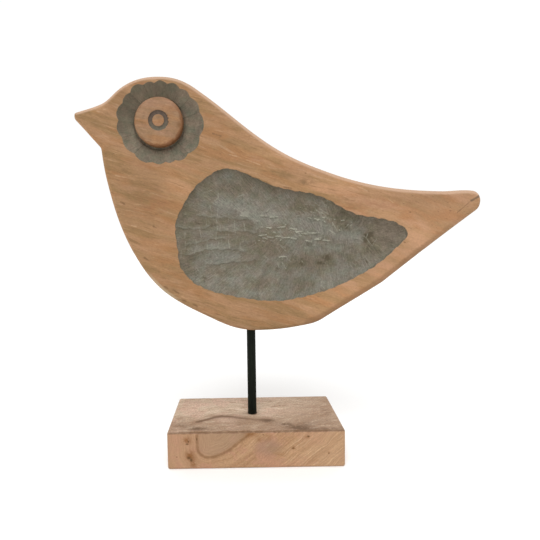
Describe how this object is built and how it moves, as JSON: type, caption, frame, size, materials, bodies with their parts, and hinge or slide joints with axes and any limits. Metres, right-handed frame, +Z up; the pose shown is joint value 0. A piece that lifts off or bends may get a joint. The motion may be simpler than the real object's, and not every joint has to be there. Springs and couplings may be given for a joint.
{
  "type": "bird figurine on stand",
  "caption": "Plank-cut wooden bird with a gouged grey wing and a scalloped grey eye dish, held on a thin black rod above a rectangular wooden block.",
  "frame": {"origin": "centre of the wooden block's underside", "axes": "+Z up; the bird's beak points along -X and its tail along +X; the carved face looks along -Y"},
  "size_m": [0.3525, 0.08, 0.3335],
  "materials": {
    "bird_wood": "light brown hardwood, sanded and dull waxed, with the gouged wing and eye dish stained matt warm grey",
    "disc_wood": "light brown hardwood, sanded and dull waxed, with a small grey ring cut in its face",
    "rod_metal": "black paint, satin",
    "block_wood": "light brown hardwood, sanded and unvarnished, with saw marks left in it"
  },
  "bodies": {
    "root": {"bird_body": "bird_wood", "eye_disc": "disc_wood", "stand_rod": "rod_metal", "base_block": "block_wood"}
  },
  "joints": []
}
